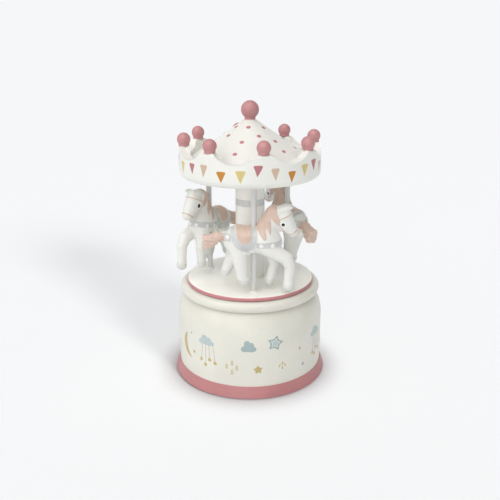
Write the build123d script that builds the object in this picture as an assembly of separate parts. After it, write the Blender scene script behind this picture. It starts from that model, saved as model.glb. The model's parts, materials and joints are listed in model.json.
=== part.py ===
from build123d import *
import os
from math import cos, pi, radians, sin, sqrt

# A wind-up carousel music box: three horses on a turning platform over a round base that holds the movement.
# Millimetres, +Z up. The origin is the centre of the resting face, on the axis the carousel turns about.
# The front is -Y. Every piece is one node, written to parts/NODE.step.

# ---- fits -------------------------------------------------------------------------------------------------
FIXED_FIT = 0.02  # radial gap of a bonded or pressed piece
RUNNING_FIT = 0.05  # radial gap of a turning shaft
SCREW_FIT = 0.3  # radial gap of a clearance hole

# ---- base -------------------------------------------------------------------------------------------------
FOOT_R = 53.0
FOOT_TOP_R = 50.6
FOOT_HEIGHT = 8.2
FOOT_RECESS_R = 38.0
PAD_R = 3.5
PAD_HEIGHT = 1.5
BASE_HEAD_R = 3.2
BASE_HEAD_Z = (2.0, 4.2)
PAD_PROUD = 0.5
PAD_RING_R = 47.5
HOUSING_R = 50.1
HOUSING_WALL = 4.1
SHOULDER_Z = 43.0
SHOULDER_ARC = 23.0
LIP_RING_R = 44.6
LIP_R = 3.4
LIP_CENTRE_Z = 61.9
HOUSING_TOP_Z = LIP_CENTRE_Z + LIP_R
TOP_PLATE = 3.7
COVER_Z = 13.0
COVER_THICKNESS = 3.0
SPIGOT_FIT = 0.3
BASE_SCREW_RING_R = 42.5
BASE_SCREW_R = 1.6
BASE_BOSS_R = 3.8
BASE_SCREW_TIP_Z = 28.0
BASE_SCREW_ANGLES = (45, 135, 225, 315)
PAD_ANGLES = (0, 90, 180, 270)
GROOVE_ANGLE = 42.5  # where the shoulder's arc runs in under the lip
CEILING_TAPER = 6.0
BUSH_R = 5.0
WASHER_R = 8.0
WASHER_Z = HOUSING_TOP_Z - 0.5

# ---- carousel ---------------------------------------------------------------------------------------------
TURNTABLE_R = 43.5
TURNTABLE_GAP = 0.5
TURNTABLE_THICKNESS = 2.2
TURNTABLE_Z = HOUSING_TOP_Z + TURNTABLE_GAP
FLOOR_Z = TURNTABLE_Z + TURNTABLE_THICKNESS
COLUMN_R = 9.8
POLE_R = 1.87
POLE_RING_R = 31.6
HORSES = 3
HORSE_PIVOT = 36.0  # height of a horse's middle on its pole
# How far each horse turns out from its path, how much higher it is fixed than the first, and how far its nose is up.
HORSE_STANCES = ((3.5, 0.0, 0.0), (2.3, 1.5, 11.0), (9.3, 0.3, 8.0))
SHAFT_TOP = 75.0
POLE_START = 4.3  # degrees from the front, towards +X
SOCKET_DEPTH = 1.2
COLLAR_R = 2.9
COLLAR_HEIGHT = 1.1
CANOPY_Z = 138.7
CANOPY_R = 46.6
CANOPY_EDGE_R = 4.0
CANOPY_SOCKET = 2.5
RIM_WALL = 6.0
RIM_PEAK_Z = 159.3
RIM_VALLEY_Z = 153.0
RIM_PEAK_WIDTH = 9.0
CONE_APEX_Z = 177.5
CONE_SLOPE = 0.68
FINIAL_R = 5.85
FINIAL_Z = 181.2
FINIAL_NECK_R = 3.6
RIM_BALLS = 8
RIM_BALL_R = 4.35
RIM_BALL_Z = 163.3
RIM_BALL_RING_R = 43.2
RIM_BALL_START = 10.9
RIM_BALL_NECK_R = 3.5
PEG_R = 1.2
PEG_LENGTH = 4.0
FINIAL_PEG_R = 1.8

# ---- movement ---------------------------------------------------------------------------------------------
BED_Z = COVER_Z + COVER_THICKNESS
BED_THICKNESS = 2.5
BED_TOP = BED_Z + BED_THICKNESS
RATCHET_Z = BED_TOP + 0.3
RATCHET_THICKNESS = 1.5
BARREL_Z = BED_TOP + 2.3
BARREL_R = 13.4
BARREL_WALL = 0.9
BARREL_HEIGHT = 12.4
FLANGE_R = 16.6
FLANGE_THICKNESS = 1.4
CROWN_TEETH = 60
CROWN_INNER_R = 14.0
CROWN_TOOTH_HEIGHT = 1.0
PINION_TEETH = 20
CROWN_PITCH_R = 15.2
CROWN_MODULE = 2 * CROWN_PITCH_R / CROWN_TEETH
PINION_PITCH_R = CROWN_MODULE * PINION_TEETH / 2
CROWN_TOP = BARREL_Z + FLANGE_THICKNESS + CROWN_TOOTH_HEIGHT
CYLINDER_AXIS_Z = CROWN_TOP - 0.45 + PINION_PITCH_R
CYLINDER_X = (19.2, 35.0)
CYLINDER_R = 6.5
PIN_R = 0.25
PIN_LENGTH = 0.45
COMB_TEETH = 18
COMB_THICKNESS = 1.0
COMB_TIP_GAP = 0.15
COMB_TOOTH_LENGTH = 8.0
COMB_BASE_WIDTH = 5.4
TRAIN_MODULE = 0.4
CYLINDER_GEAR_TEETH = 48
GOVERNOR_PINION_TEETH = 16
CYLINDER_GEAR_X = (35.5, 36.9)
WORM_WHEEL_TEETH = 20
WORM_PITCH = 1.6
WORM_R = 1.9
WORM_X = 32.0
WHEEL_PITCH_R = WORM_WHEEL_TEETH * WORM_PITCH / (2 * pi)
TRAIN_DISTANCE = TRAIN_MODULE * (CYLINDER_GEAR_TEETH + GOVERNOR_PINION_TEETH) / 2
WHEEL_Y = -TRAIN_DISTANCE
WORM_Y = WHEEL_Y - WHEEL_PITCH_R - WORM_R
ARBOR_R = 2.0
SHAFT_R = 3.0
POST_R = 2.0
POST_TOP = 40.0
KEY_Z = (3.5, 12.2)
KEY_SPAN = 13.0
KEY_HUB_R = 3.6
RATCHET_TEETH = 12
RATCHET_R = 6.0
RATCHET_ROOT_R = 4.9
CLICK_PIVOT = (-8.2, 7.4)
CLICK_PIN_R = 0.8
CLICK_GAP = 0.42  # between the nose and the tooth it holds, so that it clears the tip as it lifts
ARBOR_END_R = 0.9
WORM_PIVOT_R = 0.6
WORM_Z = (24.2, 32.4)
WORM_TURNS = 4
FAN_Z = (33.6, 36.0)
FAN_R = 4.3
ARM_Z = (36.6, 37.8)
BRIDGE_Z = (BARREL_Z + BARREL_HEIGHT + 0.8, BARREL_Z + BARREL_HEIGHT + 2.0)
BRIDGE_FEET = (-21.6, 21.6)
SMALL_SCREW_R = 1.0
SMALL_HEAD_R = 1.9
MOVEMENT_SCREW_R = 1.5
MOVEMENT_HEAD_R = 2.7
MOVEMENT_HEAD = 1.5
MOVEMENT_SCREWS = ((-13, -20.5), (-13, 20.5), (25, -21), (25, 21.5))
COMB_Z = (CYLINDER_AXIS_Z - COMB_THICKNESS / 2, CYLINDER_AXIS_Z + COMB_THICKNESS / 2)
COMB_SCREW_X = (23.2, 31.0)
COMB_SCREW_Y = 18.0
BEATS = 20
STAKE_DEPTH = 1.5
# The feet of the upright plates: the cylinder's inner end, the worm wheel's inner end, the outer end of both.
STAKES = (((17.2, 18.4), (-3, 3)), ((28.7, 29.9), (-15.5, -10.5)), ((38.0, 39.2), (-15, 5)))
BED_OUTLINE = (
    (-17, -24.4),
    (34, -24.4),
    (39.8, -19),
    (39.8, 19),
    (34, 24.4),
    (-17, 24.4),
)


# ---- shapes -----------------------------------------------------------------------------------------------
def rod(r, z0, z1, x=0.0, y=0.0):
    """A cylinder along Z."""
    return Pos(x, y, (z0 + z1) / 2) * Cylinder(r, z1 - z0)


def x_rod(r, x0, x1, y, z):
    """A cylinder along X."""
    return Pos((x0 + x1) / 2, y, z) * Rot(0, 90, 0) * Cylinder(r, x1 - x0)


def block(x, y, z):
    """A box from three (low, high) pairs."""
    size = [high - low for low, high in (x, y, z)]
    centre = [(high + low) / 2 for low, high in (x, y, z)]
    return Pos(*centre) * Box(*size)


def around(r, angle):
    """The point at radius r, angle degrees from the front towards +X."""
    return r * sin(radians(angle)), -r * cos(radians(angle))


def prism(points, z0, z1):
    """An outline in XY, extruded from z0 to z1."""
    face = make_face(Polyline(*points, close=True))
    return Pos(0, 0, z0) * extrude(face, z1 - z0)


def turned(lines):
    """A closed outline in XZ, turned about Z."""
    return revolve(make_face(lines), Axis.Z)


def gear_outline(teeth, module, addendum, dedendum, thickness):
    """A gear's outline: trapezoid teeth, thickness as a share of the pitch, tooth 0 at angle 0."""
    pitch_r = teeth * module / 2
    step = 2 * pi / teeth
    points = []
    for i in range(teeth):
        for r, share in (
            (pitch_r - dedendum * module, thickness * 1.35),
            (pitch_r + addendum * module, thickness * 0.5),
        ):
            points.append((r, i * step - share * step / 2))
        points.append((points[-1][0], i * step + thickness * 0.5 * step / 2))
        points.append((points[-3][0], i * step + thickness * 1.35 * step / 2))
    return [(r * cos(a), r * sin(a)) for r, a in points]


def x_gear(teeth, module, x, y, z, bore, turn=0.0, thickness=0.42):
    """A spur gear about X, with tooth 0 pointing turn degrees from +Y towards +Z."""
    blank = prism(gear_outline(teeth, module, 0.85, 1.15, thickness), 0, x[1] - x[0])
    blank -= rod(bore, -1, x[1] - x[0] + 1)
    return Pos(x[0], y, z) * Rot(turn, 0, 0) * Rot(0, 90, 0) * Rot(0, 0, 90) * blank


def screw(head_r, head_z, shank_r, shank_z, x, y):
    """A pan-head screw with a slot, head_z and shank_z from the head's outer face to the tip."""
    body = rod(head_r, *sorted(head_z), x, y) + rod(shank_r, *sorted(shank_z), x, y)
    outer, inner = head_z
    depth = 0.35 * (inner - outer)
    slot_z = sorted((outer - depth, outer + depth))
    return body - block((x - head_r - 1, x + head_r + 1), (y - 0.3, y + 0.3), slot_z)


def chain(points):
    """A limb: round stretches of changing radius through (u, v, w, r) points."""
    limb = None
    for u, v, w, r in points:
        ball = Pos(u, v, w) * Sphere(r)
        limb = ball if limb is None else limb + ball
    for (u0, v0, w0, r0), (u1, v1, w1, r1) in zip(points, points[1:]):
        start, end = Vector(u0, v0, w0), Vector(u1, v1, w1)
        reach = (end - start).length
        plane = Plane(origin=start, z_dir=end - start)
        limb += plane * Pos(0, 0, reach / 2) * taper(r0, r1, reach)
    return limb


def taper(r0, r1, height):
    if abs(r0 - r1) < 1e-6:
        return Cylinder(r0, height)
    return Cone(r0, r1, height)


PARTS = {}


def keep(name, *solids):
    """Names a node. Several solids stay separate in one node."""
    PARTS[name] = solids[0] if len(solids) == 1 else Compound(children=[s.solid() for s in solids])


# ---- base -------------------------------------------------------------------------------------------------
def foot_ring():
    spigot_r = HOUSING_R - HOUSING_WALL - SPIGOT_FIT
    outline = Polyline(
        (FOOT_RECESS_R, PAD_PROUD),
        (FOOT_R - 0.6, PAD_PROUD),
        (FOOT_R, PAD_PROUD + 0.6),
        (FOOT_TOP_R, FOOT_HEIGHT),
        (spigot_r, FOOT_HEIGHT),
        (spigot_r, COVER_Z),
        (FOOT_RECESS_R, COVER_Z),
        close=True,
    )
    ring = turned(Plane.XZ * outline)
    for angle in BASE_SCREW_ANGLES:
        x, y = around(BASE_SCREW_RING_R, angle)
        ring -= rod(BASE_SCREW_R + SCREW_FIT, 0, COVER_Z + 1, x, y)
        ring -= rod(BASE_HEAD_R + SCREW_FIT, 0, BASE_HEAD_Z[1], x, y)
    for angle in PAD_ANGLES:
        x, y = around(PAD_RING_R, angle)
        ring -= rod(PAD_R + FIXED_FIT, 0, PAD_HEIGHT, x, y)
    keep("foot_ring", ring)


def anti_slip_pads():
    places = [around(PAD_RING_R, angle) for angle in PAD_ANGLES]
    keep("anti_slip_pads", *[rod(PAD_R, 0, PAD_HEIGHT, x, y) for x, y in places])


def base_housing():
    inner_r = HOUSING_R - HOUSING_WALL
    ceiling_z = HOUSING_TOP_Z - TOP_PLATE

    def shoulder(angle):
        a = radians(angle)
        return HOUSING_R - SHOULDER_ARC * (1 - cos(a)), SHOULDER_Z + SHOULDER_ARC * sin(a)

    groove = shoulder(GROOVE_ANGLE)
    outline = ThreePointArc((HOUSING_R, SHOULDER_Z), shoulder(GROOVE_ANGLE / 2), groove)
    outline += ThreePointArc(groove, (LIP_RING_R + LIP_R, LIP_CENTRE_Z), (LIP_RING_R, HOUSING_TOP_Z))
    outline += Polyline(
        (LIP_RING_R, HOUSING_TOP_Z),
        (0, HOUSING_TOP_Z),
        (0, ceiling_z),
        (inner_r - CEILING_TAPER, ceiling_z),
        (inner_r, SHOULDER_Z),
        (inner_r, FOOT_HEIGHT),
        (HOUSING_R, FOOT_HEIGHT),
        (HOUSING_R, SHOULDER_Z),
    )
    shell = turned(Plane.XZ * outline)
    for angle in BASE_SCREW_ANGLES:
        x, y = around(BASE_SCREW_RING_R, angle)
        shell += rod(BASE_BOSS_R, BED_Z, SHOULDER_Z, x, y)
        shell -= rod(BASE_SCREW_R + FIXED_FIT, BED_Z - 1, BASE_SCREW_TIP_Z + 1, x, y)
    shell -= rod(BUSH_R + FIXED_FIT, ceiling_z - 1, HOUSING_TOP_Z + 1)
    shell -= rod(WASHER_R + SCREW_FIT, WASHER_Z, HOUSING_TOP_Z + 1)
    keep("base_housing", shell)


def bottom_cover():
    cover = rod(HOUSING_R - HOUSING_WALL - SPIGOT_FIT, COVER_Z, BED_Z)
    cover -= rod(ARBOR_R + 1, COVER_Z - 1, BED_Z + 1)
    for angle in BASE_SCREW_ANGLES:
        x, y = around(BASE_SCREW_RING_R, angle)
        cover -= rod(BASE_SCREW_R + SCREW_FIT, COVER_Z - 1, BED_Z + 1, x, y)
    for x, y in MOVEMENT_SCREWS:
        cover -= rod(MOVEMENT_SCREW_R + SCREW_FIT, COVER_Z - 1, BED_Z + 1, x, y)
        cover -= rod(MOVEMENT_HEAD_R + SCREW_FIT, COVER_Z - 1, COVER_Z + MOVEMENT_HEAD, x, y)
    keep("bottom_cover", cover)


def base_screws():
    head_z, shank_z = BASE_HEAD_Z, (BASE_HEAD_Z[1], BASE_SCREW_TIP_Z)
    places = [around(BASE_SCREW_RING_R, angle) for angle in BASE_SCREW_ANGLES]
    keep("base_screws", *[screw(BASE_HEAD_R, head_z, BASE_SCREW_R, shank_z, x, y) for x, y in places])


def turntable_bearing():
    ceiling_z = HOUSING_TOP_Z - TOP_PLATE
    bore = rod(SHAFT_R + RUNNING_FIT, 0, 100)
    keep("bearing_bush", rod(BUSH_R, ceiling_z, WASHER_Z) - bore)
    keep("thrust_washer", rod(WASHER_R, WASHER_Z, TURNTABLE_Z) - bore)


# ---- movement ---------------------------------------------------------------------------------------------
def movement_bed():
    bed = prism(BED_OUTLINE, BED_Z, BED_TOP)
    bed -= rod(ARBOR_R + RUNNING_FIT, BED_Z - 1, BED_TOP + 1)
    # The cylinder's gear dips into a slot, and the staked plates and posts stand in pockets.
    gear_x = (CYLINDER_GEAR_X[0] - 0.5, CYLINDER_GEAR_X[1] + 0.5)
    bed -= block(gear_x, (-6.5, 6.5), (BED_Z - 1, BED_TOP + 1))
    for x, y in MOVEMENT_SCREWS:
        bed -= rod(MOVEMENT_SCREW_R + FIXED_FIT, BED_Z - 1, BED_TOP + 1, x, y)
    for x, y in STAKES:
        bed -= block(grow(x), grow(y), (BED_TOP - STAKE_DEPTH - FIXED_FIT, BED_TOP + 1))
    for y in BRIDGE_FEET:
        bed -= rod(SMALL_SCREW_R + FIXED_FIT, BED_Z - 1, BED_TOP + 1, 0, y)
    for x in COMB_SCREW_X:
        bed -= rod(SMALL_SCREW_R + FIXED_FIT, BED_Z - 1, BED_TOP + 1, x, COMB_SCREW_Y)
    bed -= rod(CLICK_PIN_R + FIXED_FIT, BED_Z - 1, BED_TOP + 1, *CLICK_PIVOT)
    bed -= rod(WORM_PIVOT_R + RUNNING_FIT, BED_TOP - STAKE_DEPTH, BED_TOP + 1, WORM_X, WORM_Y)
    keep("bedplate", bed)
    places = [
        screw(MOVEMENT_HEAD_R, (COVER_Z, COVER_Z + MOVEMENT_HEAD), MOVEMENT_SCREW_R,
              (COVER_Z + MOVEMENT_HEAD, BED_TOP), x, y)
        for x, y in MOVEMENT_SCREWS
    ]
    keep("movement_screws", *places)


def grow(span):
    return span[0] - FIXED_FIT, span[1] + FIXED_FIT


def bearing_plates():
    """The three upright plates that carry the arbors, each staked into the bedplate."""
    inner, wheel, end = STAKES
    bore = ARBOR_END_R + RUNNING_FIT
    plate = block(inner[0], (-5, 5), (BED_TOP, CYLINDER_AXIS_Z + 4)) + block(*inner, (BED_TOP - STAKE_DEPTH, BED_TOP))
    keep("inner_bearing_plate", plate - x_rod(bore, 10, 20, 0, CYLINDER_AXIS_Z))
    plate = block(wheel[0], (WHEEL_Y - 4, WHEEL_Y + 3.8), (BED_TOP, CYLINDER_AXIS_Z + 3.4))
    plate += block(*wheel, (BED_TOP - STAKE_DEPTH, BED_TOP))
    keep("wheel_bearing_plate", plate - x_rod(bore, 20, 35, WHEEL_Y, CYLINDER_AXIS_Z))
    low_y, arm_y = WORM_Y - 1.3, WORM_Y + 1.3
    plate = block(end[0], (low_y, 7), (BED_TOP, CYLINDER_AXIS_Z + 5))
    plate += block(end[0], (low_y, arm_y + 2), (BED_TOP, ARM_Z[1]))
    plate += block((WORM_X - 1.6, end[0][1]), (low_y, arm_y), ARM_Z)
    plate += block(*end, (BED_TOP - STAKE_DEPTH, BED_TOP))
    plate -= x_rod(bore, 35, 45, 0, CYLINDER_AXIS_Z)
    plate -= x_rod(bore, 35, 45, WHEEL_Y, CYLINDER_AXIS_Z)
    plate -= rod(WORM_PIVOT_R + RUNNING_FIT, ARM_Z[0] - 1, ARM_Z[1] + 1, WORM_X, WORM_Y)
    keep("governor_bracket", plate)


def barrel_bridge():
    half, leg = 4.0, 1.4
    leg_y = FLANGE_R + 0.7
    foot_y = leg_y + leg + 5.2
    top = block((-half, half), (-leg_y - leg, leg_y + leg), BRIDGE_Z)
    bridge = top - rod(POST_R + RUNNING_FIT, *BRIDGE_Z)
    for side in (-1, 1):
        leg_span = sorted((side * leg_y, side * (leg_y + leg)))
        foot_span = sorted((side * leg_y, side * foot_y))
        bridge += block((-half, half), leg_span, (BED_TOP, BRIDGE_Z[1]))
        bridge += block((-half, half), foot_span, (BED_TOP, BED_TOP + 1.2))
    for y in BRIDGE_FEET:
        bridge -= rod(SMALL_SCREW_R + FIXED_FIT, BED_TOP - 1, BED_TOP + 2, 0, y)
    keep("barrel_bridge", bridge)
    head_z = (BED_TOP + 2.6, BED_TOP + 1.2)
    screws = [screw(SMALL_HEAD_R, head_z, SMALL_SCREW_R, (BED_Z, head_z[1]), 0, y) for y in BRIDGE_FEET]
    keep("bridge_screws", *screws)


def spring_drive():
    barrel_top = BARREL_Z + BARREL_HEIGHT
    drum = rod(BARREL_R, BARREL_Z, barrel_top - 1.0)
    drum -= rod(BARREL_R - BARREL_WALL, BARREL_Z + FLANGE_THICKNESS, barrel_top)
    drum += rod(FLANGE_R, BARREL_Z, BARREL_Z + FLANGE_THICKNESS) - rod(BARREL_R - 0.5, BARREL_Z, barrel_top)
    pitch = 2 * pi * CROWN_PITCH_R / CROWN_TEETH
    profile = [(-0.2 * pitch, 0), (0.2 * pitch, 0), (0.1 * pitch, 1), (-0.1 * pitch, 1)]
    low_z = BARREL_Z + FLANGE_THICKNESS - 0.1
    rise = CROWN_TOOTH_HEIGHT + 0.1
    face = make_face(Polyline(*[(y, low_z + z * rise) for y, z in profile], close=True))
    tooth = extrude(Plane.YZ.offset(CROWN_INNER_R) * face, FLANGE_R - CROWN_INNER_R)
    drum += [Rot(0, 0, (i + 0.5) * 360 / CROWN_TEETH) * tooth for i in range(CROWN_TEETH)]
    drum -= rod(ARBOR_R + RUNNING_FIT, BARREL_Z - 1, BARREL_Z + FLANGE_THICKNESS + 1)
    keep("spring_barrel", drum)
    cap = rod(BARREL_R, barrel_top - 1.0, barrel_top) + rod(POST_R, barrel_top, POST_TOP)
    keep("barrel_cap", cap)


def mainspring():
    """A flat spiral from the arbor's hook out to the drum's wall, as one thick line between two spirals."""
    turns, thickness = 8, 0.35
    inner_r, outer_r = ARBOR_R + 0.4, BARREL_R - BARREL_WALL - 0.15

    def spiral(offset):
        steps = turns * 12
        span = outer_r - thickness - inner_r
        places = [(i / steps, 2 * pi * turns * i / steps) for i in range(steps + 1)]
        return [((inner_r + span * t + offset) * cos(a), (inner_r + span * t + offset) * sin(a)) for t, a in places]

    inside, outside = spiral(0), spiral(thickness)
    edge = Spline(*inside) + Spline(*outside)
    edge += Line(inside[0], outside[0]) + Line(inside[-1], outside[-1])
    low, high = BARREL_Z + FLANGE_THICKNESS + 0.5, BARREL_Z + BARREL_HEIGHT - 1.5
    keep("mainspring", Pos(0, 0, low) * extrude(make_face(edge), high - low))


def winding():
    arbor = rod(ARBOR_R, KEY_Z[0] + 2, BARREL_Z + BARREL_HEIGHT - 1.3)
    keep("winding_arbor", arbor)
    step = 2 * pi / RATCHET_TEETH
    points = []
    for i in range(RATCHET_TEETH):
        # Each tooth has a radial face, and slopes down to the foot of the next one.
        face = pi + i * step
        foot = face + step - 0.02
        points.append((RATCHET_R * cos(face), RATCHET_R * sin(face)))
        points.append((RATCHET_ROOT_R * cos(foot), RATCHET_ROOT_R * sin(foot)))
    wheel = prism(points, RATCHET_Z, RATCHET_Z + RATCHET_THICKNESS)
    keep("ratchet_wheel", wheel - rod(ARBOR_R + FIXED_FIT, 0, 100))
    hub = rod(KEY_HUB_R, *KEY_Z)
    wings = block((-0.8, 0.8), (-KEY_SPAN, KEY_SPAN), (KEY_Z[0], KEY_Z[1] - 2.2))
    for side in (-1, 1):
        eye = Pos(0, side * (KEY_SPAN - 4.4), sum(KEY_Z) / 2 - 1.1) * Rot(0, 90, 0) * Cylinder(1.9, 4)
        wings -= eye
        corner = Pos(0, side * KEY_SPAN, KEY_Z[0]) * Rot(45, 0, 0) * Box(4, 2.4, 2.4)
        wings -= corner
    keep("winding_key", hub + wings - rod(ARBOR_R + FIXED_FIT, KEY_Z[0] + 2, 50))


def click():
    x, y = CLICK_PIVOT
    z = (RATCHET_Z + 0.1, RATCHET_Z + RATCHET_THICKNESS - 0.1)
    nose = (-RATCHET_R - 0.1, -RATCHET_ROOT_R - 0.35)
    arm = prism([(nose[1], CLICK_GAP), (nose[0] - 0.9, CLICK_GAP), (x - 1.1, y), (x + 1.1, y)], *z)
    pawl = arm + rod(1.8, *z, x, y)
    keep("click_pawl", pawl - rod(CLICK_PIN_R + RUNNING_FIT, 0, 100, x, y))
    pin = rod(CLICK_PIN_R, BED_Z, z[1] + 0.05, x, y) + rod(1.5, z[1] + 0.05, z[1] + 0.35, x, y)
    keep("click_pin", pin)


def melody():
    """The comb and the pinned cylinder it is plucked by."""
    x0, x1 = CYLINDER_X
    z = CYLINDER_AXIS_Z
    drum = x_rod(CYLINDER_R, x0, x1, 0, z) - x_rod(ARBOR_END_R + FIXED_FIT, x0 - 1, x1 + 1, 0, z)
    pitch = (x1 - x0 - 1.2) / COMB_TEETH
    pins = []
    for note in range(COMB_TEETH):
        for beat in range(BEATS):
            # A made-up tune: a scale that climbs and falls, with a third above it.
            climb = min(beat, BEATS - beat)
            if (note - 2 * climb) % 7 in (0, 3):
                pin = Pos(x0 + 0.6 + (note + 0.5) * pitch, 0, CYLINDER_R) * Cylinder(PIN_R, 2 * PIN_LENGTH)
                pins.append(Pos(0, 0, z) * Rot(360 * (beat + 0.5) / BEATS, 0, 0) * pin)
    drum += pins
    keep("pinned_cylinder", drum)
    tip_y = CYLINDER_R + PIN_LENGTH + COMB_TIP_GAP
    root_y = tip_y + COMB_TOOTH_LENGTH
    span_x = (x0 + 0.6, x1 - 0.6)
    comb = block(span_x, (tip_y, root_y + COMB_BASE_WIDTH), COMB_Z)
    for i in range(1, COMB_TEETH):
        x = span_x[0] + i * pitch
        comb -= block((x - 0.11, x + 0.11), (tip_y - 1, root_y - 3.0 * i / COMB_TEETH), (0, 100))
    rail = block(span_x, (root_y + 0.3, root_y + COMB_BASE_WIDTH), (BED_TOP, COMB_Z[0]))
    for x in COMB_SCREW_X:
        comb -= rod(SMALL_SCREW_R + FIXED_FIT, 0, 100, x, COMB_SCREW_Y)
        rail -= rod(SMALL_SCREW_R + FIXED_FIT, 0, 100, x, COMB_SCREW_Y)
    keep("comb", comb)
    keep("comb_rail", rail)
    head_z = (COMB_Z[1] + 1.5, COMB_Z[1])
    screws = [screw(SMALL_HEAD_R, head_z, SMALL_SCREW_R, (BED_Z, head_z[1]), x, COMB_SCREW_Y) for x in COMB_SCREW_X]
    keep("comb_screws", *screws)


def gear_train():
    z = CYLINDER_AXIS_Z
    bore = ARBOR_END_R + FIXED_FIT
    inner, wheel, end = STAKES
    arbor_start = CROWN_INNER_R + 0.1
    keep("cylinder_arbor", x_rod(ARBOR_END_R, arbor_start, end[0][1] + 0.4, 0, z))
    pinion_x = (CROWN_INNER_R + 0.3, FLANGE_R - 0.2)
    # One tooth points down into a gap of the crown teeth.
    keep("cylinder_pinion", x_gear(PINION_TEETH, CROWN_MODULE, pinion_x, 0, z, bore, -90, 0.36))
    keep("cylinder_gear", x_gear(CYLINDER_GEAR_TEETH, TRAIN_MODULE, CYLINDER_GEAR_X, 0, z, bore, 180, 0.38))
    half_tooth = 180 / GOVERNOR_PINION_TEETH
    pinion = x_gear(
        GOVERNOR_PINION_TEETH, TRAIN_MODULE, CYLINDER_GEAR_X, WHEEL_Y, z, bore, half_tooth, 0.38
    )
    keep("governor_pinion", pinion)
    keep("wheel_arbor", x_rod(ARBOR_END_R, wheel[0][0] - 0.4, end[0][1] + 0.4, WHEEL_Y, z))
    wheel_x = (WORM_X - 0.75, WORM_X + 0.75)
    module = WORM_PITCH / pi
    keep("worm_wheel", x_gear(WORM_WHEEL_TEETH, module, wheel_x, WHEEL_Y, z, bore, 180, 0.34))


def governor():
    """The endless screw and the air brake on its shaft, which hold the tune's speed."""
    core_r, crest_r = WORM_R - 0.55, WORM_R + 0.4
    shaft = rod(WORM_PIVOT_R, BED_TOP - STAKE_DEPTH + 0.3, ARM_Z[1], WORM_X, WORM_Y)
    shaft += rod(core_r, *WORM_Z, WORM_X, WORM_Y)
    half_root, half_crest = 0.19 * WORM_PITCH, 0.09 * WORM_PITCH
    # Facing the wheel (+Y, a quarter turn on), the thread leaves a gap at the wheel's middle.
    start_z = CYLINDER_AXIS_Z - WORM_PITCH * (WORM_TURNS / 2 - 0.25)
    path = Pos(WORM_X, WORM_Y, start_z) * Helix(WORM_PITCH, WORM_TURNS * WORM_PITCH, core_r)
    depth = crest_r - core_r
    outline = [(-0.25, -half_root), (depth, -half_crest), (depth, half_crest), (-0.25, half_root)]
    plane = Plane(origin=path @ 0, x_dir=(1, 0, 0), z_dir=(0, -1, 0))
    thread = sweep(plane * make_face(Polyline(*outline, close=True)), path=path, is_frenet=True)
    keep("worm_shaft", shaft + thread)
    hub_z = (FAN_Z[0], FAN_Z[1])
    fan = rod(1.6, *hub_z, WORM_X, WORM_Y)
    fan += block((WORM_X - FAN_R, WORM_X + FAN_R), (WORM_Y - 0.3, WORM_Y + 0.3), FAN_Z)
    keep("air_brake_fan", fan - rod(WORM_PIVOT_R + FIXED_FIT, 0, 100, WORM_X, WORM_Y))


# ---- carousel ---------------------------------------------------------------------------------------------
def drive_shaft():
    shaft = rod(SHAFT_R, BRIDGE_Z[1] + 1.0, SHAFT_TOP)
    keep("drive_shaft", shaft - rod(POST_R + FIXED_FIT, 0, POST_TOP + 0.3))


def turntable():
    edge = 0.6
    outline = Polyline(
        (0, TURNTABLE_Z),
        (TURNTABLE_R, TURNTABLE_Z),
        (TURNTABLE_R, FLOOR_Z - edge),
        (TURNTABLE_R - edge, FLOOR_Z),
        (0, FLOOR_Z),
        close=True,
    )
    disc = turned(Plane.XZ * outline) - rod(SHAFT_R + FIXED_FIT, 0, FLOOR_Z + 1)
    for x, y in pole_places():
        disc -= rod(POLE_R + FIXED_FIT, FLOOR_Z - SOCKET_DEPTH, FLOOR_Z + 1, x, y)
    keep("turntable", disc)


def pole_places():
    return [around(POLE_RING_R, POLE_START + i * 360 / HORSES) for i in range(HORSES)]


def column_and_poles():
    column = rod(COLUMN_R, FLOOR_Z, CANOPY_Z + CANOPY_SOCKET)
    keep("centre_column", column - rod(SHAFT_R + FIXED_FIT, 0, SHAFT_TOP + 0.3))
    collars = []
    for i, (x, y) in enumerate(pole_places()):
        keep(f"pole_{i + 1}", rod(POLE_R, FLOOR_Z - SOCKET_DEPTH, CANOPY_Z + CANOPY_SOCKET, x, y))
        collar = rod(COLLAR_R, FLOOR_Z, FLOOR_Z + COLLAR_HEIGHT, x, y)
        collars.append(collar - rod(POLE_R + FIXED_FIT, 0, 200, x, y))
    keep("pole_collars", *collars)


# A horse stands over its pole's foot: u ahead, v to its left, w above the turntable, then the radius.
HORSE_LIMBS = {
    "back": ((-11.5, 0, 36.5, 7.3), (2, 0, 36, 7.1), (11, 0, 35.5, 7.2)),
    "belly": ((-10, 0, 32.5, 7.2), (2, 0, 32, 6.9), (10.5, 0, 31.5, 7)),
    "neck": ((9.5, 0, 37, 7), (11.8, 0, 45.5, 6.4), (14.5, 0, 51, 5.6)),
    "head": ((17.6, 0, 51.2, 5.5), (20.3, 0, 45.5, 4.9), (23.4, 0, 40.2, 3.7)),
    "near_foreleg": ((9, -3.6, 29, 4.6), (23.2, -4.1, 21.8, 3.3), (22.4, -4, 4.6, 2.7)),
    "far_foreleg": ((11, 3.6, 28.5, 4.4), (12.6, 4.1, 18, 3.1), (10.3, 4, 6.8, 2.6)),
    "near_hind_leg": ((-9.5, -3.5, 29, 5), (-8.3, -4, 18, 3.9), (-7.3, -4, 10.6, 3.3)),
    "far_hind_leg": ((-11.5, 3.5, 28.5, 4.8), (-15.4, 4, 18, 3.3), (-17.4, 4, 14, 2.8)),
    "left_ear": ((16.5, 2.9, 54, 2.5), (22.2, 3, 56.4, 1.2)),
    "right_ear": ((16.5, -2.9, 54, 2.5), (22.2, -3, 56.4, 1.2)),
    "tail": ((-17.5, 0, 38, 2.6), (-23.5, 0, 37.2, 3.3), (-28.6, 0, 34.4, 3.8)),
}


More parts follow.
